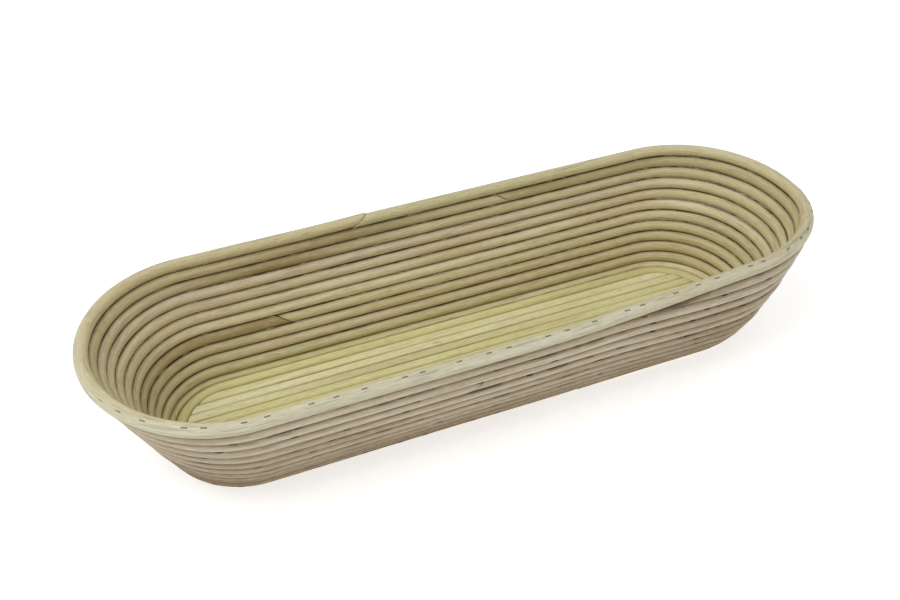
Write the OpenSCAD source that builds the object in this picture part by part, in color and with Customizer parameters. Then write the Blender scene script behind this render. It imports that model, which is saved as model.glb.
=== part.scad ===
// Long proofing basket, wound from round peeled rattan and held with wire staples.
// Millimetres, +Z up, +X along the basket, origin on the table under its middle.

/* [Cane] */
// Thickness of a cane
cane_d = 6.6; // [5:0.1:9]
// Clear gap between neighbouring canes
cane_gap = 0.5; // [0.45:0.05:0.8]
// Slant of a splice: run along the cane for each step across it
splice_slant = 1.5; // [0.5:0.1:2.5]
// Clear gap between the two faces of a splice, along the cane
splice_gap = 0.4; // [0.3:0.05:0.8]

/* [Floor] */
// Length of the base over its outer loop
base_l = 385; // [300:1:560]
// Straight canes across the floor
floor_canes = 10; // [6:1:14]
// Thickness of a straight cane
floor_cane_d = 6.15; // [5:0.05:7]
// Depth of the flat under each straight cane
sole_cut = 0.5; // [0.3:0.1:1]
// Clear gap between the end of a straight cane and the floor loop
end_gap = 0.4; // [0.35:0.05:0.8]

/* [Wall] */
// Rows above the base loop, counting the rim
wall_rows = 11; // [9:1:15]
// Lean of the long sides out from upright, in degrees
side_lean = 22; // [12:1:32]
// Extra lean at the foot of the back wall, lost again at the rim, in degrees
back_swell = 3; // [0:0.5:12]
// Extra lean at the foot of the front wall, which is the rounder one, in degrees
front_swell = 18; // [0:0.5:20]
// Growth of the straight sides from the base to the rim, at each end
flare = 11.5; // [0:0.5:16]
// How far the front right corner of the rim is drawn in
draw_in = 9; // [0:0.5:12]
// Thickness of the rim cane across the wall
rim_w = 8.4; // [6:0.1:10]

/* [Winding] */
// Start of the climb from row to row, from the right end of the front side
climb_in = 4; // [2:1:40]
// Length of the climb from row to row
climb_l = 100; // [70:1:140]
// Turns from the top end of the wall coil down to its lowest splice
low_splice = 6.46; // [6.3:0.01:6.5]
// Turns from the top end of the wall coil down to its middle splice
mid_splice = 2.85; // [2.8:0.01:2.86]
// Turns from the top end of the wall coil down to its highest splice
high_splice = 0.33; // [0.28:0.01:0.35]
// Lap of the rim on the back side, from the left end of that side
lap_in = 113; // [40:1:130]

/* [Staples] */
// Width of a staple over its legs
crown_l = 4; // [3:0.1:5]
// Thickness of the staple wire
wire = 0.8; // [0.5:0.05:1]
// Depth that a crown is sunk into its cane
sink = 0.65; // [0.4:0.05:0.9]
// Depth that the legs reach into the second cane
bite = 2.4; // [1.5:0.1:3]
// Tilt of a wall staple away from the wall's own line, in degrees
staple_tilt = 20; // [10:1:22]
// Tilt of a rim staple away from the wall's own line, in degrees
rim_tilt = 12; // [0:1:20]
// Spacing of the staples along the rim
rim_step = 17; // [12:1:40]
// Spacing of the staples along a row of the wall
wall_step = 55; // [30:1:90]
// Spacing of the staples along the base loop
base_step = 22; // [15:1:60]
// Staples of the base loop to each row of staples across the floor
floor_every = 3; // [2:1:6]

/* [Hidden] */
// A cane is a tube of this many flat sides, with one flat towards each neighbour
sides = 8;
// Segments of one round end, of the climb and of the back side in a turn of cane
end_parts = 12;
climb_parts = 5;
back_parts = 2;
// Share of a climb that a shaved end is cut short of
tip_share = 0.3;
// Share of a climbed row from which the coil is close enough under the rim to be stapled to it
hold_share = 0.8;
// Share of the cane's thickness that the legs of a rim staple reach over the shaved top end
leg_share = 0.75;
// Power that keeps the front wall's swell near the front
swell_bend = 3;
// Power of the height by which the front right corner is drawn in
draw_bend = 1.5;
// Share of a staple's spacing by which it is off its even place
stray = 0.22;

pitch = cane_d + cane_gap;
corner_r = cane_d / 2 / cos(180 / sides);
floor_pitch = floor_cane_d + cane_gap;
floor_r = floor_canes / 2 * floor_pitch + pitch / 2;
base_r = floor_r + pitch;
base_a = base_l / 2 - cane_d / 2 - base_r;
rim_leg = leg_share * cane_d;
cane_end_r = floor_r - cane_d / 2 - end_gap;
rim_row = wall_rows + 1;
wall_turns = wall_rows - 1;
base_turns = 2;
climb_from = climb_in / base_a / 8;
climb_to = (climb_in + climb_l) / base_a / 8;
climb_u = climb_to - climb_from;

// Rows are numbered from the floor loop (0) over the base loop (1) up to the rim.
// The wall's shape passes from that of the back (bearing 90) to that of the front (bearing 270).
function rise(q) = (q - 1) * pitch;
function height_share(q) = max(0, q - 1) / wall_rows;
function swell(f) = back_swell + (front_swell - back_swell) * ((1 - sin(f)) / 2) ^ swell_bend;
function foot_lean(q, f) = side_lean + swell(f) * (1 - height_share(q));
function row_lean(q, f) = q <= 1 ? 90 : side_lean + swell(f) * (1 - 2 * height_share(q));
function row_r(q, f) = q <= 1 ? floor_r + q * pitch : base_r + rise(q) * sin(foot_lean(q, f));
function row_z(q, f) = cane_d / 2 + (q <= 1 ? 0 : rise(q) * cos(foot_lean(q, f)));
function row_a(q) = base_a + flare * height_share(q) ^ 2;

// A point of row q after the front right corner is drawn in: more the higher up and the nearer
// the end. The wall turns about its foot there, so the point also rises.
function drawn(p, q) =
    let (along = max(0, min(1, p[0] / (row_a(q) + row_r(q, 0)))),
         share = height_share(q) ^ draw_bend * (1 - cos(180 * along)) / 2,
         in = max(0, -p[1]) * share * draw_in / row_r(rim_row, 270))
    [p[0], p[1] + in, p[2] + in * tan(side_lean)];

// A turn goes from u = 0 to 1 in four quarters: front to the left, left end, back, right end.
function quarter(u) = floor(4 * u);
function part(u) = 4 * u - quarter(u);
function bearing(u) = [270, 270 - 180 * part(u), 90, 90 - 180 * part(u)][quarter(u)];
function middle(u, a) = [a - 2 * a * part(u), -a, 2 * a * part(u) - a, a][quarter(u)];
function climb(u) =
    let (share = max(0, min(1, (u - climb_from) / climb_u)))
    (1 - cos(180 * share)) / 2;

// Ring of points of a cane at u in row q: w is its width across the rows, off shifts it up
// the wall, slant shears it along the cane for a splice, and thick is its size across the wall.
function ring(u, q, w = cane_d, off = 0, slant = 0, thick = cane_d) =
    let (f = bearing(u), c = middle(u, row_a(q)), lean = row_lean(q, f))
    [for (i = [0 : sides - 1])
        let (t = 360 * (i + 0.5) / sides,
             up = off + w / cane_d * corner_r * cos(t),
             out = thick / cane_d * corner_r * sin(t),
             h = row_r(q, f) + up * sin(lean) + out * cos(lean),
             run = slant * up)
        drawn([c + h * cos(f) + run * sin(f), h * sin(f) - run * cos(f),
               row_z(q, f) + up * cos(lean) - out * sin(lean)], q)];

// Ring of a coil that starts in row q0: the first climb is its shaved start, the last
// its shaved end, and in each one between it moves on by a row.
function coil_ring(tau, q0, turns, slant = 0) =
    let (n = floor(tau + 0.000001), u = max(0, tau - n), s = climb(u),
         w = n == 0 ? s * pitch - cane_gap : n == turns ? (1 - s) * pitch - cane_gap : cane_d,
         off = (n == 0 ? w - cane_d : cane_d - w) / 2,
         q = q0 + (n == 0 ? 0 : n == turns ? turns - 1 : n - 1 + s))
    ring(u, q, w, off, slant);

stations = concat(
    [0],
    [for (i = [0 : climb_parts]) climb_from + climb_u * i / climb_parts],
    [for (i = [0 : end_parts]) 0.25 + 0.25 * i / end_parts],
    [for (i = [1 : back_parts - 1]) 0.5 + 0.25 * i / back_parts],
    [for (i = [0 : end_parts - 1]) 0.75 + 0.25 * i / end_parts]);

// Places along a cane from turn t0 to turn t1, with the stations that lie between.
function places(t0, t1) = concat(
    [t0],
    [for (n = [floor(t0) : floor(t1)], u = stations) if (n + u > t0 + 0.004 && n + u < t1 - 0.004) n + u],
    [t1]);

function length_rings(t0, t1, q0, turns, slant0 = 0, slant1 = 0) =
    let (at = places(t0, t1), last = len(at) - 1)
    [for (i = [0 : last])
        coil_ring(at[i], q0, turns, i == 0 ? slant0 : i == last ? slant1 : 0)];

// Distance of a point from an edge, and the least one from the points of a ring to another's edges.
function edge_gap(p, a, b) =
    let (v = b - a, t = max(0, min(1, (p - a) * v / (v * v))))
    norm(p - a - t * v);
function ring_gap(low, high) =
    min([for (p = low, i = [0 : sides - 1]) edge_gap(p, high[i], high[(i + 1) % sides])]);

// Least gap of a wound cane to itself, between its ring at each place and the one a turn on.
function self_gap(t0, t1, q0, turns) =
    min([for (t = places(t0, t1)) if (t + 1 < t1)
        let (low = coil_ring(t, q0, turns), high = coil_ring(t + 1, q0, turns))
        min(ring_gap(low, high), ring_gap(high, low))]);

// One unbroken tube over a list of rings.
module tube(rings) {
    last = len(rings) - 1;
    polyhedron(
        points = [for (r = rings) each r],
        faces = concat(
            [for (k = [0 : last - 1], i = [0 : sides - 1])
                let (a = k * sides + i, b = k * sides + (i + 1) % sides)
                each [[a, b, b + sides], [a, b + sides, a + sides]]],
            [for (i = [1 : sides - 2]) [0, i + 1, i]],
            [for (i = [1 : sides - 2]) [last * sides, last * sides + i, last * sides + i + 1]]));
}

// Splices of the wall coil, counted in turns from its start.
low_at = wall_turns - low_splice;
mid_at = wall_turns - mid_splice;
high_at = wall_turns - high_splice;
wall_start = climb_from + tip_share * climb_u;
wall_stop = wall_turns + climb_from + (1 - tip_share) * climb_u;
base_stop = base_turns + climb_from + (1 - tip_share) * climb_u;
function splice_u(tau) = splice_gap / 8 / row_a(1 + tau);

module wall_length(name, t0, t1, slant0, slant1) {
    color([0.80, 0.74, 0.58])
        tube(length_rings(t0, t1, 2, wall_turns, slant0, slant1));
    if (t1 - t0 > 1)
        echo(str("least gap of ", name, " to itself: ", self_gap(t0, t1, 2, wall_turns)));
}

module base_coil() {
    color([0.84, 0.79, 0.57])
        tube(length_rings(wall_start, base_stop, 0, base_turns));
    echo(str("least gap of base_coil to itself: ", self_gap(wall_start, base_stop, 0, base_turns)));
}

module wall_cane_1() {
    wall_length("wall_cane_1", wall_start, low_at, 0, -splice_slant);
}

module wall_cane_2() {
    wall_length("wall_cane_2", low_at + splice_u(low_at), mid_at, -splice_slant, -splice_slant);
}

module wall_cane_3() {
    wall_length("wall_cane_3", mid_at + splice_u(mid_at), high_at, -splice_slant, -splice_slant);
}

module wall_cane_4() {
    wall_length("wall_cane_4", high_at + splice_u(high_at), wall_stop, -splice_slant, 0);
}

// The rim is one hoop, whose ends lap on a slant on the back.
module rim_hoop() {
    lap_u = 0.5 + lap_in / row_a(rim_row) / 8;
    at = places(lap_u + splice_u(wall_rows), 1 + lap_u);
    last = len(at) - 1;
    color([0.88, 0.83, 0.69])
        tube([for (i = [0 : last])
            ring(at[i] % 1, rim_row, slant = i == 0 || i == last ? splice_slant : 0, thick = rim_w)]);
}

// Outline inside the floor loop, to which the straight canes are cut.
module floor_outline() {
    square([2 * base_a, 2 * cane_end_r], center = true);
    for (side = [-1, 1])
        translate([side * base_a, 0])
            circle(r = cane_end_r, $fn = 96);
}

function floor_y(j) = (j - (floor_canes + 1) / 2) * floor_pitch;
floor_z = floor_cane_d / 2 - sole_cut;

// Straight cane j across the floor, flat underneath, with its ends cut to the loop.
module floor_cane(j) {
    color([0.87, 0.83, 0.56])
        intersection() {
            translate([-base_l / 2, floor_y(j), floor_z])
                rotate([0, 90, 0])
                    cylinder(d = floor_cane_d, h = base_l, $fn = 48);
            linear_extrude(floor_cane_d)
                floor_outline();
        }
}

// Staple with its crown along X on top of a cane of thickness d, legs down into the next cane.
module staple(d = cane_d, leg_l = cane_d + cane_gap + bite) {
    outer = crown_l / 2;
    inner = outer - wire;
    translate([0, 0, d / 2 - sink])
        rotate([90, 0, 0])
            linear_extrude(wire, center = true)
                polygon([[-outer, wire], [outer, wire], [outer, -leg_l], [inner, -leg_l],
                         [inner, 0], [-inner, 0], [-inner, -leg_l], [-outer, -leg_l]]);
}

// Places a staple on the cane at u in row q, tilted out from the wall's own line.
module staple_at(u, q, tilt = 0, leg_l = cane_d + cane_gap + bite) {
    f = bearing(u);
    translate(drawn([middle(u, row_a(q)) + row_r(q, f) * cos(f), row_r(q, f) * sin(f), row_z(q, f)], q))
        rotate([0, 0, f - 90])
            rotate([-row_lean(q, f) - tilt, 0, 0])
                staple(cane_d, leg_l);
}

// Places of the staples along row q, a little off an even spacing.
function staple_places(q, step) =
    [for (k = [0 : 3])
        let (run = k % 2 == 0 ? 2 * row_a(q) : PI * row_r(q, 0), count = max(1, round(run / step)))
        for (i = [0 : count - 1]) (k + (i + 0.5 + stray * sin(137 * i + 71 * k + 53 * q)) / count) / 4];

// Over the shaved top end of the coil a rim staple stays inside the rim.
module rim_staples() {
    color([0.35, 0.33, 0.30])
        for (u = staple_places(rim_row, rim_step))
            if (climb(u) == 0 || climb(u) > hold_share)
                staple_at(u, rim_row, rim_tilt);
            else
                staple_at(u, rim_row, rim_tilt, rim_leg);
}

// Each turn of the wall coil is held on the one below, and the first on the base loop.
module turn_staples(n) {
    for (u = staple_places(2 + n, wall_step))
        if (n > 0 || climb(u) == 1)
            staple_at(u, 1 + n + climb(u), staple_tilt);
}

half_turns = floor(wall_turns / 2);

module lower_wall_staples() {
    color([0.35, 0.33, 0.30])
        for (n = [0 : half_turns - 1])
            turn_staples(n);
}

module upper_wall_staples() {
    color([0.35, 0.33, 0.30])
        for (n = [half_turns : wall_turns - 1])
            turn_staples(n);
}

// The base loop is held on the floor loop, but not where one passes into the other.
module base_staples() {
    color([0.35, 0.33, 0.30])
        for (u = staple_places(1, base_step))
            if (climb(u) == 0 || climb(u) == 1)
                staple_at(u, 1);
}

// Places along the long sides of the floor loop, each midway between two staples of the base loop.
function floor_places() =
    let (at = staple_places(1, base_step))
    [for (i = [1 : floor_every : len(at) - 2])
        let (u = (at[i] + at[i + 1]) / 2)
        if (quarter(u) % 2 == 0 && climb(u) == 1 && abs(middle(u, base_a)) < base_a - 3 * crown_l) u];

// The floor loop is held on the outermost straight cane, and each straight cane on the
// next one inwards. Neighbours are stapled side by side and not at one place.
module floor_staples() {
    color([0.35, 0.33, 0.30])
        for (u = floor_places()) {
            front = quarter(u) == 0 ? 1 : 0;
            staple_at(u, 0);
            for (k = [1 : floor((floor_canes - front) / 2)])
                translate([middle(u, base_a) + (k % 2) * 2 * crown_l, 0, floor_z])
                    mirror([0, front, 0])
                        translate([0, floor_y(floor_canes + 1 - k), 0])
                            rotate([-90, 0, 0])
                                staple(floor_cane_d, floor_cane_d + cane_gap + bite);
        }
}

base_coil();
wall_cane_1();
wall_cane_2();
wall_cane_3();
wall_cane_4();
rim_hoop();
for (j = [1 : floor_canes])
    floor_cane(j);
rim_staples();
upper_wall_staples();
lower_wall_staples();
base_staples();
floor_staples();
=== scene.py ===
"""Looks of a long proofing basket, wound from round peeled cane and held with wire staples.

Every cane is a profile carried along the winding that the part's solids follow, in metres, in
the same frame. Rows are numbered from the floor loop (0) over the base loop (1) up to the rim. A
place in a row is u, from 0 to 1 once round, and tau counts the whole turns of a coil as well.
"""

from types import SimpleNamespace

import bpy
import numpy as np
from bpy.props import FloatProperty, FloatVectorProperty, IntProperty, PointerProperty
from bpy.types import Operator, Panel, PropertyGroup
from mathutils import Matrix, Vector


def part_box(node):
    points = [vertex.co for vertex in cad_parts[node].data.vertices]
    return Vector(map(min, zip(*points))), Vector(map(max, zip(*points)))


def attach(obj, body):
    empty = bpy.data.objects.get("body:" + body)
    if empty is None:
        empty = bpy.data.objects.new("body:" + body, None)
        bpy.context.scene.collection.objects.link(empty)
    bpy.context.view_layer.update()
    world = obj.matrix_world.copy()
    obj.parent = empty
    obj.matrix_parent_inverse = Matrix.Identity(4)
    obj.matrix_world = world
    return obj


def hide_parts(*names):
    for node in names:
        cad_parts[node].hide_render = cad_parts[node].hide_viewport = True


bl_info = {
    "name": "Proofing basket",
    "version": (1, 0, 0),
    "blender": (4, 5, 0),
    "location": "3D View > Sidebar > Basket",
    "description": "Dresses a long proofing basket in wound cane and wire staples",
    "category": "Object",
}

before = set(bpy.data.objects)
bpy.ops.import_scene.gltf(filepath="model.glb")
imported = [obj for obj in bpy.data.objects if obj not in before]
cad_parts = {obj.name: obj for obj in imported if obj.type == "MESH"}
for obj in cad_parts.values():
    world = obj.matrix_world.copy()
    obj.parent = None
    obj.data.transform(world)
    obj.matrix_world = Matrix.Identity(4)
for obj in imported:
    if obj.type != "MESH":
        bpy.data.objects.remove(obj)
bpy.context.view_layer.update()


def length(name, default, description):
    """A size in metres."""
    return FloatProperty(
        name=name, description=description, default=default, unit="LENGTH", precision=5)


def angle(name, degrees, description):
    """An angle, given in degrees."""
    return FloatProperty(
        name=name, description=description, default=float(np.radians(degrees)), subtype="ANGLE")


def number(name, default, description):
    """A plain number."""
    return FloatProperty(name=name, description=description, default=default)


def count(name, default, description):
    """A whole number of two or more."""
    return IntProperty(name=name, description=description, default=default, min=2)


def colour(name, default, description):
    """A linear colour."""
    return FloatVectorProperty(
        name=name, description=description, default=default, size=3, subtype="COLOR", min=0.0, max=1.0)


class BasketSizes(PropertyGroup):
    """Sizes of the basket's winding, canes and staples."""

    pitch: length("Row spacing", 0.0071, "Distance from one row of cane to the next")
    cane: length("Cane thickness", 0.00708, "Thickness of a wound cane, which almost touches the next")
    base_half: length("Base half", 0.0033, "Half of the base loop's thickness, and its middle's height")
    base_length: length(
        "Base length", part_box("base_coil")[1].x * 2, "Length of the base over its outer loop")
    floor_count: count("Floor canes", 10, "Straight canes across the floor")
    floor_pitch: length("Floor spacing", 0.00665, "Distance from one straight cane to the next")
    floor_wide: length("Floor cane width", 0.0065, "Width of a straight cane")
    floor_high: length("Floor cane height", 0.0056, "Height of a straight cane")
    wall_rows: count("Wall rows", 11, "Rows above the base loop, with the rim")
    side_lean: angle("Side lean", 22, "Lean of the long sides out from upright")
    back_swell: angle("Back swell", 3, "Extra lean at the foot of the back wall, lost at the rim")
    front_swell: angle("Front swell", 18, "Extra lean at the foot of the front wall, the rounder one")
    flare: length("Flare", 0.0115, "Growth of the straight sides from base to rim, at each end")
    draw_in: length("Draw in", 0.009, "How far the front right corner of the rim is drawn in")
    climb_in: length("Climb start", 0.004, "Start of the climb, from the right end of the front side")
    climb_length: length("Climb length", 0.1, "Length of the climb from row to row")
    low_splice: number("Low splice", 6.46, "Turns from the coil's top end down to its lowest splice")
    mid_splice: number("Middle splice", 2.85, "Turns from the coil's top end to its middle splice")
    high_splice: number("High splice", 0.33, "Turns from the coil's top end to its highest splice")
    splice_slant: number("Splice slant", 1.5, "Run along the cane for each step across it, at a splice")
    lap_in: length("Rim lap", 0.113, "Lap of the rim, from the left end of the back side")
    rim_wide: length("Rim width", 0.0086, "Thickness of the rim cane across the wall")
    crown: length("Staple width", 0.0046, "Width of a staple over its legs")
    wire: length("Wire thickness", 0.001, "Thickness of the staple wire")
    leg: length("Staple leg", 0.004, "Length of a staple's legs, which end inside the cane")
    rim_step: length("Rim staple spacing", 0.017, "Spacing of the staples along the rim")
    wall_step: length("Wall staple spacing", 0.055, "Spacing of the staples along a row of the wall")
    base_step: length("Base staple spacing", 0.022, "Spacing of the staples along the base loop")
    fibres: count("Loose fibres", 220, "Short fibres that stand out of the grooves")


class BasketColours(PropertyGroup):
    """Colours of the cane and the wire."""

    straw: colour("Straw", (0.68, 0.58, 0.335), "Usual colour of the wall cane")
    pale: colour("Pale cane", (0.82, 0.74, 0.49), "Lightest stretches of the wall cane")
    blush: colour("Pinkish cane", (0.71, 0.605, 0.435), "Stretches with a pink cast")
    green: colour("Greenish cane", (0.63, 0.585, 0.32), "Stretches with a green cast")
    # Also the colour of painted shade on the inside: the left end and the last climb
    brown: colour("Brown cane", (0.325, 0.24, 0.09), "Brown stretches of the wall cane")
    # Greyer tone of the wall's outside, also darkened as painted shade
    outside_grey_and_shade: colour("Weathered cane", (0.37, 0.30, 0.195), "Greyer tone of the wall's outside")
    outside_grey_and_shade_pale: colour(
        "Pale weathered cane", (0.545, 0.475, 0.35), "Lightest stretches of the wall's outside")
    # Also the colour of painted shade on the outside: the left end, the last climb and the rim's low
    # side
    dust_and_shade: colour("Dust", (0.20, 0.135, 0.075), "Grey-brown stains on the wall's outside")
    groove: colour("Groove", (0.19, 0.12, 0.048), "Dust and shade in the grooves")
    # Painted shade: the near black of the deep gaps in the grooves
    gap: colour("Gap", (0.045, 0.03, 0.012), "Dark gaps here and there in the grooves")
    rim: colour("Rim cane", (0.61, 0.565, 0.395), "Usual colour of the rim's top and outside")
    rim_pale: colour("Pale rim cane", (0.74, 0.715, 0.55), "Lightest stretches of the rim")
    floor: colour("Floor cane", (0.78, 0.725, 0.35), "Usual colour of the floor canes")
    floor_pale: colour("Pale floor cane", (0.90, 0.86, 0.55), "Lightest stretches of the floor canes")
    # Painted shade in the grooves between the floor canes
    floor_groove: colour("Floor groove", (0.36, 0.27, 0.10), "Grooves between the floor canes")
    # One wire in two copies: a paler one on the rim and floor, and a near-black one that is painted
    # shade for the staples in the wall's grooves and on the base loop
    wire: colour("Wire", (0.24, 0.20, 0.155), "Staple wire of the rim and the floor")
    shaded_wire: colour("Dark wire", (0.025, 0.018, 0.014), "Staple wire of the wall and the base loop")


# Values of the winding and of the staples' spacing

FIRST_WALL_ROW, BASE_TURNS = 2, 2
# Share of the climb that is missing from a shaved end, and space between two ends at a splice
SHAVED_OFF, SPLICE_GAP = 0.12, 0.0003
# Unevenness of the spacing, and its angles for a staple, a quarter of a turn and a row
STAGGER, STAGGER_ANGLES = 0.22, (137, 71, 53)

# Values of the cane meshes

# Rings on the front side, the left end, the back side and the right end
RINGS = (76, 60, 76, 60)
# First step from an end and the stretch without other rings there, in turns
END_STEP, END_CLEAR = 0.0008, 0.003
# Size of the end faces, as a share of the profile
COIL_CUT, RIM_CUT, FLOOR_CUT = 0.975, 0.95, 0.93
# Distance from a slanted end over which its lean fades out
LEAN_FADE = 0.025
# Seeds of the random changes along each cane, and of the fibres
BASE_SEED, WALL_SEED, WALL_SEED_STEP, RIM_SEED, FIBRE_SEED = 11, 21, 10, 70, 5

# Brown of each length of the wall coil, and its stretches: place along it, reach and strength
WALL_BROWN = (0.05, 0.0, 0.05, 0.22)
WALL_STRETCHES = (
    [(1.0, 0.19, 0.9)],
    [],
    [(0.96, 0.10, 0.65), (0.54, 0.10, 1.0)],
    [(0.1, 0.2, 0.3)],
)

# Grain of the cane: fineness along it, fineness around it and detail
STREAKS, CLOUDS, FIBRE_LINES = (38, 2.6, 3.0), (13, 0.8, 2.0), (170, 7.0, 2.0)
FLECKS, GAPS = (55, 2.0, 1.0), (60, 0.5, 1.0)

# Stage: half-length of the floor, its drop under the basket, and the camera fitted to the photograph
FLOOR_EDGE, FLOOR_DROP = 12.0, 0.0001
CAMERA_PLACE = (-0.292754, -0.571576, 0.570337)
CAMERA_ANGLES = (-26.07, 38.85, 2.05)
FOCAL_PIXELS, PICTURE_PIXELS, SENSOR = 1364.8, 900.0, 36.0
WHITE = (1.0, 1.0, 1.0, 1.0)


# Winding

def height_share(s, q):
    """Share of the wall's height that row q has reached."""
    return np.maximum(0, q - 1) / s.wall_rows


def swell_of(s, bearing):
    """Extra lean at the foot: the back's, and more of the front's with the cube of the way there."""
    return s.back_swell + (s.front_swell - s.back_swell) * ((1 - np.sin(bearing)) / 2) ** 3


def floor_radius(s):
    """Half-width of the floor loop's middle line: half of the straight canes and half a row."""
    return s.floor_count / 2 * s.floor_pitch + s.pitch / 2


def row_of(s, q, bearing):
    """Half-width and height of row q at a bearing, from the rise along the wall's curve."""
    floor_r = floor_radius(s)
    rise = (q - 1) * s.pitch
    foot = s.side_lean + swell_of(s, bearing) * (1 - height_share(s, q))
    wide = np.where(q <= 1, floor_r + q * s.pitch, floor_r + s.pitch + rise * np.sin(foot))
    high = s.base_half + np.where(q <= 1, 0.0, rise * np.cos(foot))
    return wide, high


def straight_of(s, q=1):
    """Half-length of the straight sides of row q, which grows with the square of the height."""
    base_r = floor_radius(s) + s.pitch
    return s.base_length / 2 - s.base_half - base_r + s.flare * height_share(s, q) ** 2


def turn_share(s, distance, q=1):
    """Share of a turn that a distance along a straight side of row q takes: a side is a quarter."""
    return distance / straight_of(s, q) / 8


def turn_at(u, straight):
    """Bearing and middle of a turn at u: front side to the left, left end, back side, right end."""
    quarter = np.minimum(np.floor(4 * u), 3).astype(int)
    part = 4 * u - quarter
    front, back, one = np.full_like(u, 1.5), np.full_like(u, 0.5), np.ones_like(u)
    bearing = np.choose(quarter, [front, 1.5 - part, back, 0.5 - part]) * np.pi
    middle = np.choose(quarter, [1 - 2 * part, -one, 2 * part - 1, one]) * straight
    return bearing, middle


def climb_of(s, u):
    """Share of a row that the coil has climbed at u, eased with a cosine on the front side."""
    run = (u - turn_share(s, s.climb_in)) / turn_share(s, s.climb_length)
    return (1 - np.cos(np.pi * np.clip(run, 0, 1))) / 2


def shaved_span(s, turns):
    """First and last place of a coil, whose shaved ends lie a little inside their climbs."""
    first = turn_share(s, s.climb_in + SHAVED_OFF * s.climb_length)
    last = turns + turn_share(s, s.climb_in + (1 - SHAVED_OFF) * s.climb_length)
    return first, last


def drawn_in(s, q, x, y, z):
    """Front right corner drawn in, more the higher and nearer the end, and raised as it turns."""
    end = straight_of(s, q) + row_of(s, q, 0.0)[0]
    share = height_share(s, q) ** 1.5 * (1 - np.cos(np.pi * np.clip(x / end, 0, 1))) / 2
    inward = np.maximum(0, -y) * share * s.draw_in / row_of(s, s.wall_rows + 1, 1.5 * np.pi)[0]
    return np.stack(np.broadcast_arrays(x, y + inward, z + inward * np.tan(s.side_lean)), axis=-1)


def place_of(s, u, q):
    """Middle of the cane at u in row q: the turn's middle, and the half-width along the bearing."""
    bearing, middle = turn_at(u, straight_of(s, q))
    wide, high = row_of(s, q, bearing)
    return drawn_in(s, q, middle + wide * np.cos(bearing), wide * np.sin(bearing), high)


def ways_of(s, u, q):
    """Unit ways at u in row q: up to the next row, out of the wall, and along the cane.

    On the floor, up is outwards and out is down. The last value is the distance from half a row
    below to half a row above, over the row spacing.
    """
    bearing = turn_at(u, straight_of(s, q))[0]
    flat = np.zeros_like(bearing)
    along = np.stack([np.sin(bearing), -np.cos(bearing), flat], axis=-1)
    level = np.stack([np.cos(bearing), np.sin(bearing), flat], axis=-1) * s.pitch
    up = np.where((q > 1)[..., None], place_of(s, u, q + 0.5) - place_of(s, u, q - 0.5), level)
    up = up - along * np.sum(up * along, axis=-1, keepdims=True)
    size = np.linalg.norm(up, axis=-1, keepdims=True)
    return up / size, np.cross(up / size, along), along, size[..., 0] / s.pitch


def carried(s, u, q, up, out, run):
    """Points of a profile carried to u in row q: up the wall, out across it, run along the cane."""
    ways = ways_of(s, u, q)
    steps = [np.asarray(value)[..., None] * way for value, way in zip((up, out, run), ways)]
    return place_of(s, u, q) + steps[0] + steps[1] + steps[2]


def stations(first, last):
    """Places along a cane between two turns, about 4 mm apart, with one more just inside each end."""
    turn = np.concatenate([(k + np.arange(m) / m) / 4 for k, m in enumerate(RINGS)])
    places = (np.arange(np.floor(first), np.floor(last) + 1)[:, None] + turn).ravel()
    inner = places[(places > first + END_CLEAR) & (places < last - END_CLEAR)]
    return np.concatenate([[first, first + END_STEP], inner, [last - END_STEP, last]])


def run_along(points):
    """Distance along a line of points."""
    steps = np.linalg.norm(np.diff(points, axis=0), axis=1)
    return np.concatenate([[0.0], np.cumsum(steps)])


# Changes along and around a cane

def around(sides):
    """Angles of the sides of a round profile."""
    return 2 * np.pi * np.arange(sides) / sides


SIDES = 18
AROUND = around(SIDES)
COS, SIN = np.cos(AROUND), np.sin(AROUND)


def ramp(value, low, high):
    """Share from 0 at low to 1 at high, straight between."""
    return np.clip((value - low) / (high - low), 0, 1)


def drift(along, step, seed):
    """Smooth random change along a cane: random knots every step, eased between with a cosine."""
    knots = np.random.default_rng(seed).normal(size=int(along.max() / step) + 3)
    place = along / step
    low = place.astype(int)
    ease = (1 - np.cos(np.pi * (place - low))) / 2
    return knots[low] * (1 - ease) + knots[low + 1] * ease


def near_ends(along, reach):
    """Nearness to the start and to the end of a cane: 1 there, and 0 from the reach on."""
    return np.clip(1 - along / reach, 0, 1), np.clip(1 - (along[-1] - along) / reach, 0, 1)


def cut_ends(along, cut):
    """Size of each ring: full along the cane and a little less at its two cut ends."""
    size = np.ones_like(along)
    size[[0, -1]] = cut
    return size


def rounded(value, power):
    """Value raised to a power with its sign kept: a power below 1 squares a round profile."""
    return np.sign(value) * np.abs(value) ** power


def grain_at(along, offset):
    """Place in the cane's own grain: distance along it, moved on for each cane, and side around it."""
    return np.stack(np.broadcast_arrays(along[:, None] + offset, COS[None, :], SIN[None, :]), axis=-1)


# Meshes

def tube_faces(rings, sides):
    """Quads between neighbouring rings and one face on each end, pointing outwards."""
    k, i = np.meshgrid(np.arange(rings - 1), np.arange(sides), indexing="ij")
    near, side = k * sides + i, k * sides + (i + 1) % sides
    faces = np.stack([near, near + sides, side + sides, side], axis=-1).reshape(-1, 4)
    loop = np.arange(sides)
    return faces, np.stack([loop, (rings - 1) * sides + loop[::-1]])


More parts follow.
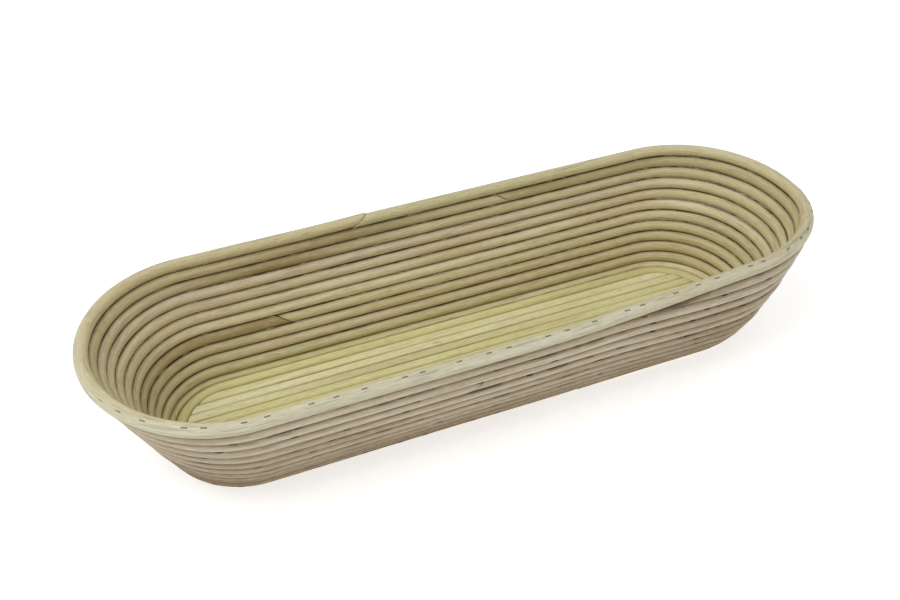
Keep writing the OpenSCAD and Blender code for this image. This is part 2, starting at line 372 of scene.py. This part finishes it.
def put_tubes(name, points, values, finish, nodes):
    """One tube or many like ones in a piece, with values spread over their points.

    The axes of the points are tube, ring, side and coordinate, and a single tube has no first one.
    """
    rings, sides = points.shape[-3:-1]
    faces, caps = tube_faces(rings, sides)
    start = np.arange(0, points.size // 3, rings * sides)[:, None, None]
    spread = {}
    for key, value in values.items():
        vector = key == "grain"
        whole = np.broadcast_to(value, points.shape if vector else points.shape[:-1])
        spread[key] = whole.reshape((-1, 3) if vector else -1)
    put_mesh(name, points.reshape(-1, 3), (start + faces).reshape(-1, 4),
             (start + caps).reshape(-1, sides), spread, finish, nodes)


def put_mesh(name, vertices, faces, caps, attributes, finish, nodes):
    """Object at the origin from a vertex array, quads, end faces and values at its points."""
    counts = np.concatenate([np.full(len(faces), 4), np.full(len(caps), caps.shape[1])])
    corners = np.concatenate([faces.ravel(), caps.ravel()])
    mesh = bpy.data.meshes.new(name)
    mesh.vertices.add(len(vertices))
    mesh.vertices.foreach_set("co", vertices.astype(np.float32).ravel())
    mesh.loops.add(len(corners))
    mesh.loops.foreach_set("vertex_index", corners.astype(np.int32))
    mesh.polygons.add(len(counts))
    mesh.polygons.foreach_set("loop_start", (np.cumsum(counts) - counts).astype(np.int32))
    mesh.update(calc_edges=True)
    mesh.validate()
    mesh.polygons.foreach_set("use_smooth", np.arange(len(counts)) < len(faces))
    for key, values in attributes.items():
        vector = values.ndim == 2
        layer = mesh.attributes.new(key, "FLOAT_VECTOR" if vector else "FLOAT", "POINT")
        layer.data.foreach_set("vector" if vector else "value", values.astype(np.float32).ravel())
    mesh.materials.append(finish)
    piece = bpy.data.objects.new(name, mesh)
    bpy.context.scene.collection.objects.link(piece)
    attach(piece, "root")
    if nodes:
        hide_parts(*nodes)


# Wound canes

def course_of(s, span, start_row, turns):
    """Stations of a wound cane over a span of turns, with its row, width and shift up the wall.

    In the first climb the cane grows from nothing to its full width with its lower edge kept, in
    the last one it shrinks to nothing with its upper edge kept, and in each one between it moves
    up by a row. Right is 1 at the right end of the basket, -1 at the left end and 0 on the sides.
    """
    tau = stations(*span)
    turn = np.floor(tau + 1e-6)
    u = np.maximum(0, tau - turn)
    share = climb_of(s, u)
    gap = s.pitch - s.cane
    opens, closes = turn == 0, turn == turns
    width = np.where(opens, share * s.pitch - gap, s.cane)
    width = np.where(closes, (1 - share) * s.pitch - gap, width)
    shift = np.where(opens, width - s.cane, s.cane - width) / 2
    row = start_row + np.where(opens, 0, np.where(closes, turns - 1, turn - 1 + share))
    return SimpleNamespace(
        tau=tau, u=u, row=row, share=share, closes=closes, width=width, shift=shift,
        along=run_along(place_of(s, u, row)), high=height_share(s, row),
        right=np.cos(turn_at(u, straight_of(s, row))[0]))


def coil_points(s, course, seed, slants, flat):
    """Points of a wound cane: a round profile, up cos t and out sin t, carried along its course.

    It wanders, swells and is shaved thin across the wall, so that its rows still meet. At a
    slanted end it leans along the cane in proportion to up. A flat coil is cut off at the table.
    """
    along = course.along
    full = np.clip(course.width / s.cane, 0.05, 1)
    wander = 0.00022 * drift(along, 0.09, seed) * full
    swell = 1 + 0.01 * np.clip(drift(along, 0.14, seed + 1), -1.2, 0.6)
    size = cut_ends(along, COIL_CUT)
    start, stop = near_ends(along, LEAN_FADE)
    lean = slants[0] * start + slants[1] * stop
    half = course.width / 2 * size * ways_of(s, course.u, course.row)[3]
    deep = s.cane / 2 * size * swell * (0.55 + 0.45 * full)
    up = course.shift[:, None] + half[:, None] * COS
    out = wander[:, None] + deep[:, None] * SIN
    if flat:
        out = np.minimum(out, s.base_half)
    return carried(s, course.u[:, None], course.row[:, None], up, out, lean[:, None] * up)


def wall_sides(high):
    """Outer side, yellowness and grooves of a wall cane.

    Dust and painted shade darken the grooves, broader low down on the outside and narrow inside,
    where the lower half of the cane gets a little painted shade as well.
    """
    edge = np.abs(COS)
    # Outside grooves: dust and painted shade, broader low down
    start = 0.48 + 0.20 * high[:, None]
    outside = ramp(edge, start, start + 0.26)
    # Inside: a thin groove of dust and painted shade, and painted shade on the lower half
    inside = np.maximum(ramp(edge, 0.72, 0.97), 0.22 * ramp(-COS, 0.1, 0.7))
    return np.clip(0.5 + 0.9 * SIN, 0, 1), 0.0, np.where(SIN > 0, outside, inside)


def base_sides(tau):
    """Outer side, yellowness and grooves of the base coil.

    Its first turn is the floor loop, yellow all round, with a groove of painted shade on both sides.
    Then comes the base loop, greyer and darker with painted shade on its outer side, with grooves
    of painted shade inside and under the wall's first row.
    """
    loop = 1 - ramp(tau, 1.0, 1.1)[:, None]
    outer = np.clip(1.2 * COS - 0.1, 0, 1) * (1 - loop)
    yellow = np.maximum(loop, 0.45 * (1 - outer))
    # Grooves of dust and painted shade on the base loop: inside and under the wall's first row
    base = np.maximum(-COS, 0.9 * np.cos(AROUND + 1.0))
    groove = 0.8 * ramp(loop * np.abs(COS) + (1 - loop) * base, 0.74, 0.94)
    return outer, yellow, groove


def stain_and_shade_along(course, seed, brown, stretches):
    """Stain and painted shade along a cane: its own brown, painted shade at the left end, spots,
    painted shadow on the last climb and brown stretches.
    """
    along = course.along
    # Painted shade: the left end of every wall row is darkened
    left = 0.24 * np.clip(-course.right, 0, 1)
    spots = 0.28 * np.clip(drift(along, 0.17, seed + 2) - 0.6, 0, 2)
    # Painted shadow on the last climb, which lies in the shade under the rim
    wedge_shadow = 0.9 * course.share * course.closes
    stain_and_shade = brown + left + spots + wedge_shadow
    for place, reach, strength in stretches:
        stain_and_shade = stain_and_shade + strength * np.clip(1 - np.abs(along - place * along[-1]) / reach, 0, 1)
    return stain_and_shade


def coil_values(course, seed, brown, stretches, flat):
    """Values of a wound cane's finish, from the height, the side and smooth changes along it.

    The outside is paler high up and darker and browner low down. The pink cast lies in a band two
    thirds up the long sides, and a green one low down and at the ends. The grooves and the last
    climb get painted shade.
    """
    along, share = course.along, course.share
    high, ends = course.high[:, None], np.abs(course.right)
    outer, yellow, groove = base_sides(course.tau) if flat else wall_sides(course.high)
    groove_dust_and_shade = np.clip(0.85 + 0.22 * drift(along, 0.07, seed + 6), 0.4, 1)
    # Painted shadow: the last climb under the rim also takes the dark groove colour
    wedge_shadow = 0.0 if flat else 0.75 * np.clip(2 * share, 0, 1) * course.closes
    groove = np.maximum(groove * groove_dust_and_shade[:, None], np.reshape(wedge_shadow, (-1, 1)))
    groove[[0, -1]] = 1
    tone = 0.9 * drift(along, 0.35, seed + 3) + 0.45 * drift(along, 0.06, seed + 4)
    band = np.exp(-((course.high - 0.68) / 0.09) ** 2) * (1 - ends)
    low = np.clip(0.5 - course.high, 0, 1)
    blush = 0.7 * drift(along, 0.42, seed + 5) - 1.5 * low + 1.1 * band - 0.7 * ends
    stain_and_shade = stain_and_shade_along(course, seed, brown, stretches)
    return {
        "grain": grain_at(along, 7.3 * seed),
        "tone": tone[:, None] + 1.1 * outer * high**3,
        "stain_and_shade": np.clip(stain_and_shade[:, None] + outer * (1 - high) ** 1.5, 0, 1),
        "groove": groove,
        "blush": blush[:, None],
        "outer": outer,
        "yellow": yellow,
    }


def wound_cane(s, node, span, start_row, turns, seed,
               slants=(0, 0), brown=0.0, stretches=(), flat=False):
    """Cane wound over a span of turns: its points and the values of its finish."""
    course = course_of(s, span, start_row, turns)
    points = coil_points(s, course, seed, slants, flat)
    values = coil_values(course, seed, brown, stretches, flat)
    put_tubes(node + "_piece", points, values, wall_finish(), [node])


# Finishes

class Value:
    """A shader socket that takes part in Python arithmetic: each operation adds a Math node."""

    def __init__(self, finish, socket):
        self.finish = finish
        self.socket = socket

    def math(self, operation, first, second):
        """Adds a Math node."""
        return self.finish.node("ShaderNodeMath", {"operation": operation}, {0: first, 1: second})

    def __add__(self, other):
        return self.math("ADD", self, other)

    def __radd__(self, other):
        return self.math("ADD", other, self)

    def __sub__(self, other):
        return self.math("SUBTRACT", self, other)

    def __rsub__(self, other):
        return self.math("SUBTRACT", other, self)

    def __mul__(self, other):
        return self.math("MULTIPLY", self, other)

    def __rmul__(self, other):
        return self.math("MULTIPLY", other, self)

    def __pow__(self, other):
        return self.math("POWER", self, other)


class Finish:
    """A material whose nodes are made one at a time, each with its settings and its inputs."""

    def __init__(self, name):
        self.material = bpy.data.materials.new(name)
        self.material.use_nodes = True
        self.tree = self.material.node_tree
        self.shader = self.tree.nodes["Principled BSDF"]

    def node(self, kind, settings, inputs, output=0):
        """Adds a node, sets its settings first, then its inputs, and gives one output."""
        made = self.tree.nodes.new(kind)
        for key, value in settings.items():
            setattr(made, key, value)
        for key, value in inputs.items():
            self.feed(made.inputs[key], value)
        return Value(self, made.outputs[output])

    def feed(self, socket, value):
        """Links a socket to a value's socket, or sets it to a plain number or colour."""
        if isinstance(value, Value):
            self.tree.links.new(value.socket, socket)
        else:
            socket.default_value = value

    def shade(self, **inputs):
        """Feeds the shader's own sockets, named with _ for a space."""
        for key, value in inputs.items():
            self.feed(self.shader.inputs[key.replace("_", " ")], value)

    def read(self, name, output=2):
        """A value stored on the piece's points."""
        return self.node("ShaderNodeAttribute", {"attribute_name": name}, {}, output)

    def grain(self, along, across, detail):
        """Noise in the cane's own grain, with its fineness along the cane and around it."""
        vector = self.node(
            "ShaderNodeVectorMath", {"operation": "MULTIPLY"},
            {0: self.read("grain", 1), 1: (along, across, across)})
        return self.node(
            "ShaderNodeTexNoise", {"noise_dimensions": "3D"},
            {"Vector": vector, "Scale": 1.0, "Detail": detail, "Roughness": 0.55})

    def cloud(self, scale):
        """Noise over the piece's own coordinates."""
        place = self.node("ShaderNodeTexCoord", {}, {}, 3)
        return self.node("ShaderNodeTexNoise", {}, {"Vector": place, "Scale": scale, "Detail": 2.0})

    def ease(self, value, low, high):
        """Value from 0 at low to 1 at high, eased."""
        return self.node(
            "ShaderNodeMapRange", {"interpolation_type": "SMOOTHSTEP"},
            {"Value": value, "From Min": low, "From Max": high})

    def mix(self, factor, first, second):
        """Colour from first to second."""
        return self.node("ShaderNodeMix", {"data_type": "RGBA"}, {0: factor, 6: first, 7: second}, 2)


def rgba(values):
    """A colour with full alpha."""
    return (*values, 1.0)


def cane_finish(name, outer, outer_pale, fleck):
    """Peeled cane: pale and brown stretches, stains with painted shade, streaks along the fibre, flecks
    and dark grooves of painted shade.
    """
    c = bpy.context.scene.basket_colours
    f = Finish(name)
    streak, broad, fine = (f.grain(*kind) for kind in (STREAKS, CLOUDS, FIBRE_LINES))
    outside, yellow, blush = f.read("outer"), f.read("yellow"), f.read("blush")
    # Light and dark stretches, with a cast of their own inside, yellow on the floor, and outside a
    # greyer tone that is darkened as painted shade
    light = f.ease(f.read("tone") * 0.30 + broad * 0.8 + streak * 0.5, 0.40, 0.95)
    body = f.mix(light, rgba(c.straw), rgba(c.pale))
    body = f.mix(f.ease(blush, 0.0, 1.3) * 0.65, body, rgba(c.blush))
    body = f.mix(f.ease(blush, 0.0, -1.3) * 0.8, body, rgba(c.green))
    body = f.mix(outside, body, f.mix(light, rgba(outer), rgba(outer_pale)))
    body = f.mix(yellow, body, f.mix(light, rgba(c.floor), rgba(c.floor_pale)))
    # Stains with painted shade mixed in, and streaks, then fine dark and pale fibres, then flecks
    dirt_and_shade = f.mix(outside, rgba(c.brown), rgba(c.dust_and_shade))
    body = f.mix(f.read("stain_and_shade") * (0.4 + broad), body, dirt_and_shade)
    body = f.mix(f.ease(streak, 0.50, 0.74) * (0.5 - yellow * 0.2), body, dirt_and_shade)
    body = f.mix(f.ease(fine, 0.50, 0.72) * 0.3, body, rgba(c.brown))
    body = f.mix(f.ease(fine, 0.48, 0.28) * 0.25, body, rgba(c.floor_pale))
    body = f.mix(f.ease(f.grain(*FLECKS), 0.70, 0.77) * fleck, body, rgba(c.brown))
    # Grooves of dust and painted shade, and the darker painted shade of the gaps in them
    edge = f.read("groove") ** 1.25
    groove_dust_and_shade = f.mix(yellow, rgba(c.groove), rgba(c.floor_groove))
    body = f.mix(edge * (0.72 + streak * 0.4), body, groove_dust_and_shade)
    gap = f.ease(f.grain(*GAPS), 0.54, 0.62) * (1 - yellow * 0.7)
    body = f.mix(edge * gap * 0.85, body, rgba(c.gap))
    relief = streak * 0.7 + fine * 0.5
    bump = f.node("ShaderNodeBump", {}, {"Strength": 0.6, "Distance": 0.0004, "Height": relief})
    f.shade(Base_Color=body, Roughness=0.50 + streak * 0.16 + fine * 0.08,
            Specular_IOR_Level=0.35, Normal=bump)
    return f.material


def wire_finish(name, usual):
    """Dull staple wire with brown spots."""
    f = Finish(name)
    spots = f.cloud(900.0)
    rust = bpy.context.scene.basket_colours.brown
    f.shade(Base_Color=f.mix(f.ease(spots, 0.4, 0.7) * 0.4, rgba(usual), rgba(rust)),
            Roughness=0.5 + spots * 0.25, Metallic=0.2)
    return f.material


def kept_finish(name, make, *values):
    """The finish of that name, made once."""
    return bpy.data.materials.get(name) or make(name, *values)


def wall_finish():
    """Finish of the wall, base and floor canes, greyer on the outside and yellower on the floor."""
    c = bpy.context.scene.basket_colours
    return kept_finish("peeled_cane", cane_finish, c.outside_grey_and_shade, c.outside_grey_and_shade_pale, 0.5)


def rim_finish():
    """Finish of the rim cane, paler on its top and outside."""
    c = bpy.context.scene.basket_colours
    return kept_finish("peeled_rim_cane", cane_finish, c.rim, c.rim_pale, 0.35)


# Pieces of cane

class BASKET_OT_base_coil(Operator):
    """Flat coil of two turns: the floor loop and the base loop round it"""

    bl_idname = "basket.base_coil"
    bl_label = "Base coil"

    def execute(self, context):
        s = context.scene.basket_sizes
        span = shaved_span(s, BASE_TURNS)
        wound_cane(s, "base_coil", span, 0, BASE_TURNS, BASE_SEED, flat=True)
        return {"FINISHED"}


class BASKET_OT_wall_canes(Operator):
    """Wall coil of ten turns, in four lengths of cane with slanted splices"""

    bl_idname = "basket.wall_canes"
    bl_label = "Wall canes"

    def execute(self, context):
        s = context.scene.basket_sizes
        turns = s.wall_rows - 1
        first, last = shaved_span(s, turns)
        cuts = [turns - down for down in (s.low_splice, s.mid_splice, s.high_splice)]
        gap = turn_share(s, SPLICE_GAP)
        starts, stops = [first, *(cut + gap for cut in cuts)], [*cuts, last]
        slant = -s.splice_slant
        slants = [(0, slant), (slant, slant), (slant, slant), (slant, 0)]
        for i, span in enumerate(zip(starts, stops)):
            wound_cane(s, f"wall_cane_{i + 1}", span, FIRST_WALL_ROW, turns,
                       WALL_SEED + WALL_SEED_STEP * i,
                       slants[i], WALL_BROWN[i], WALL_STRETCHES[i])
        return {"FINISHED"}


class BASKET_OT_rim_hoop(Operator):
    """Rim cane, a hoop whose slanted ends lap on the back"""

    bl_idname = "basket.rim_hoop"
    bl_label = "Rim hoop"

    def execute(self, context):
        s = context.scene.basket_sizes
        row = np.float64(s.wall_rows + 1)
        lap = 0.5 + turn_share(s, s.lap_in, row)
        u = stations(lap + turn_share(s, SPLICE_GAP, row), 1 + lap) % 1
        along = run_along(place_of(s, u, row))
        points = self.hoop_points(s, u, row, along)
        put_tubes("rim_hoop_piece", points, self.hoop_values(along), rim_finish(),
                  ["rim_hoop"])
        return {"FINISHED"}

    def hoop_points(self, s, u, row, along):
        """Profile up cos t and out sin t, broader across the wall, its last end a little raised."""
        size = cut_ends(along, RIM_CUT)
        lean = s.splice_slant * sum(near_ends(along, LEAN_FADE))
        lift = 0.0007 * near_ends(along, 0.04)[1] ** 2
        swell = 1 + 0.012 * np.clip(drift(along, 0.12, RIM_SEED + 1), -1.5, 1)
        wander = 0.0002 * drift(along, 0.1, RIM_SEED + 2)
        half = s.cane / 2 * size * ways_of(s, u, row)[3]
        deep = s.rim_wide / 2 * size * swell
        up = lift[:, None] + half[:, None] * COS
        out = wander[:, None] + deep[:, None] * SIN
        return carried(s, u[:, None], row, up, out, lean[:, None] * up)

    def hoop_values(self, along):
        """Values of the rim's finish: browner inside, painted shade low on the outside and in the
        groove under it, paler at the top.
        """
        spots = np.clip(0.2 * (drift(along, 0.15, RIM_SEED + 4) - 0.8), 0, 1)
        inside = 0.12 * np.clip(-SIN, 0, 1)
        # Painted shade on the lower half of the rim's outside
        low = 0.5 * ramp(-COS, -0.6, 0.1) * (SIN > 0)
        return {
            "grain": grain_at(along, 90.0),
            "tone": 0.4 * drift(along, 0.2, RIM_SEED + 3)[:, None],
            "stain_and_shade": spots[:, None] + inside + low,
            # Painted shade in the groove under the rim
            "groove": ramp(-COS, 0.66, 1.0),
            "blush": 0.5 * drift(along, 0.3, RIM_SEED + 5)[:, None] - 0.6,
            "outer": np.clip(0.4 + 0.9 * SIN + 0.3 * COS, 0, 1),
            "yellow": 0.0,
        }


class BASKET_OT_floor_canes(Operator):
    """Straight canes across the floor, cut at both ends to the curve of the floor loop"""

    bl_idname = "basket.floor_canes"
    bl_label = "Floor canes"

    def execute(self, context):
        s = context.scene.basket_sizes
        straight = straight_of(s)
        inner = s.floor_count / 2 * s.floor_pitch - 0.00015
        t = np.concatenate([[-1], np.linspace(-0.9985, 0.9985, 90), [1]])
        along = (t + 1) * (straight + inner)
        for j in range(1, s.floor_count + 1):
            y, z = self.cane_profile(s, j, along)
            reach = straight + np.sqrt(np.maximum(inner**2 - y**2, 0))
            points = np.stack([t[:, None] * reach, y, z], axis=-1)
            put_tubes(f"floor_cane_{j}_piece", points, self.cane_values(j, along), wall_finish(),
                      [f"floor_cane_{j}"])
        return {"FINISHED"}

    def cane_profile(self, s, j, along):
        """Squared round profile of cane j, y by cos t and z by sin t, with an uneven width and top."""
        size = cut_ends(along, FLOOR_CUT)
        side, top = rounded(COS, 0.8), rounded(SIN, 0.5)
        middle = (j - (s.floor_count + 1) / 2) * s.floor_pitch
        wide = s.floor_wide * (1 + 0.012 * np.clip(drift(along, 0.1, 200 + j), -2, 0.6))
        lift = 0.00012 * drift(along, 0.08, 230 + j)
        y = middle - (wide / 2 * size)[:, None] * side
        z = s.floor_high / 2 * (1 + size[:, None] * top) + lift[:, None] * (top > 0)
        return y, z

    def cane_values(self, j, along):
        """Values of the finish of cane j, all yellow, with painted-shade grooves of its own depth on
        both sides.
        """
        deep = 0.55 + 0.3 * drift(along, 0.09, 330 + j) + 0.25 * np.sin(2.4 * j)
        tone = 0.5 * drift(along, 0.16, 250 + j) + 0.25 * drift(along, 0.05, 270 + j)
        spots = np.clip(0.16 * (drift(along, 0.12, 290 + j) - 0.5), 0, 1)
        return {
            "grain": grain_at(along, 100.0 + 3.1 * j),
            "tone": tone[:, None],
            "stain_and_shade": spots[:, None],
            "groove": ramp(np.abs(COS), 0.80, 0.96) * np.clip(deep, 0.1, 1)[:, None],
            "blush": 0.7 * drift(along, 0.3, 310 + j)[:, None] - 0.3,
            "outer": 0.0,
            "yellow": 1.0,
        }


class BASKET_OT_loose_fibres(Operator):
    """Short pale fibres that stand out of the grooves"""

    bl_idname = "basket.loose_fibres"
    bl_label = "Loose fibres"

    def execute(self, context):
        s = context.scene.basket_sizes
        rng = np.random.default_rng(FIBRE_SEED)
        u = rng.uniform(0.26, 0.99, s.fibres)
        q = rng.integers(FIRST_WALL_ROW + 1, s.wall_rows, s.fibres) + climb_of(s, u)
        size = rng.uniform(0.002, 0.006, s.fibres)[:, None]
        bend = rng.uniform(-0.5, 0.5, s.fibres)[:, None]
        way = np.sign(rng.uniform(-1, 1, s.fibres))[:, None]
        points = self.fibre_points(s, u, q, size, bend, way)
        values = dict.fromkeys(("stain_and_shade", "groove", "blush", "outer", "yellow"), 0.0)
        values.update(grain=points, tone=0.8)
        put_tubes("loose_fibres", points, values, rim_finish(), [])
        return {"FINISHED"}

    def fibre_points(self, s, u, q, size, bend, way):
        """Thin profile along a bow that leaves the groove and leans inwards, thinner to its tip."""
        t = np.linspace(0, 1, 5)
        turn = around(4)
        thin = (0.0002 * (1 - 0.8 * t))[:, None]
        run = size * t * way
        up = s.pitch / 2 + size * (0.25 * np.sin(np.pi * t) * bend + 0.1 * t)
        out = -0.30 * s.cane - 0.22 * size * t**1.5
        return carried(s, u[:, None, None], q[:, None, None], up[..., None] + thin * np.cos(turn),
                       out[..., None] + thin * np.sin(turn), run[..., None])


# Staples

def staple_shape(s):
    """Bent wire: a six-sided profile carried down one leg, along the crown and down the other."""
    half, bend = s.crown / 2 - s.wire / 2, 0.0003
    path = np.array([(-half, -s.leg), (-half, -bend), (bend - half, 0),
                     (half - bend, 0), (half, -bend), (half, -s.leg)])
    ahead = np.gradient(path, axis=0)
    ahead /= np.linalg.norm(ahead, axis=1, keepdims=True)
    turn = around(6)
    side = np.stack([-ahead[:, 1], ahead[:, 0]], axis=1)
    flat = path[:, None, :] + s.wire / 2 * np.cos(turn)[None, :, None] * side[:, None, :]
    across = np.broadcast_to(s.wire / 2 * np.sin(turn), flat.shape[:2])
    return np.stack([flat[..., 0], across, flat[..., 1]], axis=-1)


def staple_places(s, q, step):
    """Places along row q, each off an even spacing by a sine of its number, quarter and row."""
    by_staple, by_quarter, by_row = STAGGER_ANGLES
    places = []
    for k in range(4):
        run = 2 * straight_of(s, q) if k % 2 == 0 else np.pi * row_of(s, q, 0.0)[0]
        total = max(1, int(np.floor(run / step + 0.5)))
        i = np.arange(total)
        off = STAGGER * np.sin(np.radians(by_staple * i + by_quarter * k + by_row * q))
        places.append((k + (i + 0.5 + off) / total) / 4)
    return np.concatenate(places)


def put_staples(s, node, seats, dark=False):
    """Staples on their seats: each has a crown point, its way along the cane and its way out."""
    at, along, out = (np.concatenate(parts)[:, None, None] for parts in zip(*seats))
    x, y, z = (part[..., None] for part in np.moveaxis(staple_shape(s), -1, 0))
    points = at + x * along + y * np.cross(out, along) + z * out
    c = bpy.context.scene.basket_colours
    # The dark copy of the wire is painted shade, for staples that sit in shaded grooves
    name, usual = ("shaded_wire", c.shaded_wire) if dark else ("wire", c.wire)
    finish = kept_finish(name, wire_finish, usual)
    put_tubes(node + "_piece", points, {}, finish, [node])


def seats_on(s, u, q, tilt, height):
    """Seats at u in row q: crowns at a height above the cane's middle, tilted out from the wall."""
    up, out, along, spread = ways_of(s, u, q)
    tilt = np.broadcast_to(tilt, u.shape)[:, None]
    way = np.cos(tilt) * up + np.sin(tilt) * out
    return place_of(s, u, q) + height * spread[:, None] * way, along, way


class BASKET_OT_staples(Operator):
    """Wire staples of the rim, the wall, the base loop and the floor"""

    bl_idname = "basket.staples"
    bl_label = "Staples"

    def execute(self, context):
        s = context.scene.basket_sizes
        sunk = s.cane / 2 - 0.0002
        put_staples(s, "rim_staples", [self.rim_seats(s, sunk)])
        half = (s.wall_rows - 1) // 2
        lower, upper = range(half), range(half, s.wall_rows - 1)
        put_staples(s, "lower_wall_staples", [self.wall_seats(s, n) for n in lower], True)
        put_staples(s, "upper_wall_staples", [self.wall_seats(s, n) for n in upper], True)
        put_staples(s, "base_staples", [self.base_seats(s, sunk)], True)
        put_staples(s, "floor_staples", self.floor_seats(s))
        return {"FINISHED"}

    def rim_seats(self, s, sunk):
        """Seats on the rim, tilted outwards and sunk deeper towards the back."""
        rim = s.wall_rows + 1
        u = staple_places(s, rim, s.rim_step)
        back = np.sin(turn_at(u, straight_of(s, rim))[0])
        tilt = np.radians(20 + 7 * back)
        return seats_on(s, u, np.full_like(u, rim), tilt, sunk - 0.00025 * (1 + back)[:, None])

    def wall_seats(self, s, n):
        """Seats in the groove over turn n of the wall, tilted out less the higher it is."""
        u = staple_places(s, FIRST_WALL_ROW + n, s.wall_step)
        if n == 0:
            u = u[climb_of(s, u) == 1]
        q = 1 + n + climb_of(s, u)
        return seats_on(s, u, q, np.radians(40 - 14 * height_share(s, q)), s.cane / 2 + 0.0001)

    def base_seats(self, s, sunk):
        """Seats on the base loop, apart from the climb of the wall's first turn."""
        u = staple_places(s, 1, s.base_step)
        share = climb_of(s, u)
        u = u[(share == 0) | (share == 1)]
        return seats_on(s, u, np.ones_like(u), np.radians(20), sunk)

    def floor_seats(self, s):
        """Seats midway between every third pair of base staples: floor loop, then straight canes."""
        straight = straight_of(s)
        at = staple_places(s, 1, s.base_step)
        first = np.arange(1, len(at) - 1, 3)
        u = (at[first] + at[first + 1]) / 2
        middle = turn_at(u, straight)[1]
        on_side = (np.floor(4 * u) % 2 == 0) & (np.abs(middle) < straight - 3 * s.crown)
        kept = on_side & (climb_of(s, u) == 1)
        u, middle = u[kept], middle[kept]
        seats = [seats_on(s, u, np.zeros_like(u), 0.0, s.cane / 2 - 0.0004)]
        side = np.where(np.floor(4 * u) == 0, -1.0, 1.0)
        for k in range(1, s.floor_count // 2 + 1):
            on = (side > 0) | (k <= (s.floor_count - 1) // 2)
            y = side[on] * ((s.floor_count + 1) / 2 - k) * s.floor_pitch
            x = middle[on] + (k % 2) * 2 * s.crown
            none = np.zeros_like(x)
            out = np.stack([none, side[on], none], axis=-1)
            along = np.stack([side[on], none, none], axis=-1)
            seat = np.stack([x, y, none + s.floor_high / 2], axis=-1)
            seats.append((seat + (s.floor_wide / 2 - 0.0005) * out, along, out))
        return seats


# Stage

class BASKET_OT_stage(Operator):
    """Pale floor, soft studio light and the camera"""

    bl_idname = "basket.stage"
    bl_label = "Stage"

    def execute(self, context):
        scene = context.scene
        scene.view_settings.view_transform = "Standard"
        self.lay_floor(scene)
        world = bpy.data.worlds.new("studio")
        world.use_nodes = True
        world.node_tree.nodes["Background"].inputs["Color"].default_value = WHITE
        world.node_tree.nodes["Background"].inputs["Strength"].default_value = 0.45
        scene.world = world
        self.soft_light(scene, "overhead", (-0.85, 0.1, 1.5), (0, 0, 0), size=1.4, power=13.2)
        self.soft_light(scene, "front", (0.8, -1.6, 1.2), (0, 0, 0.03), size=1.0, power=5.4)
        self.place_camera(scene)
        return {"FINISHED"}

    def lay_floor(self, scene):
        """Pale square floor just under the basket, with a faint glow of its own."""
        f = Finish("pale_floor")
        f.shade(Base_Color=f.mix(f.cloud(3.0), (0.90, 0.90, 0.90, 1), (0.93, 0.93, 0.93, 1)),
                Roughness=0.9, Emission_Color=WHITE, Emission_Strength=0.55)
        corners = np.array([(-1, -1), (1, -1), (1, 1), (-1, 1)]) * FLOOR_EDGE
        mesh = bpy.data.meshes.new("pale_floor")
        mesh.from_pydata([(x, y, -FLOOR_DROP) for x, y in corners], [], [(0, 1, 2, 3)])
        mesh.materials.append(f.material)
        ground = bpy.data.objects.new("pale_floor", mesh)
        scene.collection.objects.link(ground)

    def soft_light(self, scene, name, place, aim, size, power):
        """Square soft light at a place, turned to a point."""
        light = bpy.data.lights.new(name, "AREA")
        light.shape = "SQUARE"
        light.size = size
        light.energy = power
        lamp = bpy.data.objects.new(name, light)
        back = np.array(place) - np.array(aim)
        lamp.matrix_world = self.facing(back / np.linalg.norm(back), 0.0, place)
        scene.collection.objects.link(lamp)

    def place_camera(self, scene):
        """Camera at the photograph's place, bearing, height and roll."""
        azimuth, height, roll = np.radians(CAMERA_ANGLES)
        level = np.cos(height)
        back = np.array([np.sin(azimuth) * level, -np.cos(azimuth) * level, np.sin(height)])
        lens = bpy.data.cameras.new("camera")
        lens.sensor_width = SENSOR
        lens.lens = FOCAL_PIXELS * SENSOR / PICTURE_PIXELS
        camera = bpy.data.objects.new("camera", lens)
        camera.matrix_world = self.facing(back, roll, CAMERA_PLACE)
        scene.collection.objects.link(camera)
        scene.camera = camera

    def facing(self, back, roll, place):
        """Matrix that looks against back from a place, rolled about its line of sight."""
        right = np.cross([0.0, 0.0, 1.0], back)
        right /= np.linalg.norm(right)
        up = np.cross(back, right)
        c, n = np.cos(roll), np.sin(roll)
        whole = np.eye(4)
        whole[:3] = np.stack([c * right + n * up, c * up - n * right, back, place], axis=1)
        return Matrix(whole)


OPERATORS = (
    BASKET_OT_base_coil,
    BASKET_OT_wall_canes,
    BASKET_OT_rim_hoop,
    BASKET_OT_floor_canes,
    BASKET_OT_staples,
    BASKET_OT_loose_fibres,
    BASKET_OT_stage,
)


class BASKET_PT_panel(Panel):
    """Panel that lists the pieces of the basket"""

    bl_idname = "BASKET_PT_panel"
    bl_label = "Proofing basket"
    bl_space_type = "VIEW_3D"
    bl_region_type = "UI"
    bl_category = "Basket"

    def draw(self, context):
        for operator in OPERATORS:
            self.layout.operator(operator.bl_idname)
        for group in (context.scene.basket_sizes, context.scene.basket_colours):
            for key in group.__annotations__:
                self.layout.prop(group, key)


CLASSES = (BasketSizes, BasketColours, *OPERATORS, BASKET_PT_panel)


def register():
    """Registers the classes and puts the two groups of values on the scene."""
    for item in CLASSES:
        bpy.utils.register_class(item)
    bpy.types.Scene.basket_sizes = PointerProperty(type=BasketSizes)
    bpy.types.Scene.basket_colours = PointerProperty(type=BasketColours)


def unregister():
    """Takes the groups and the classes away again."""
    del bpy.types.Scene.basket_colours
    del bpy.types.Scene.basket_sizes
    for item in reversed(CLASSES):
        bpy.utils.unregister_class(item)


def main():
    register()
    for operator in OPERATORS:
        group, name = operator.bl_idname.split(".")
        getattr(getattr(bpy.ops, group), name)()
    bpy.context.view_layer.update()


if __name__ == "__main__":
    main()
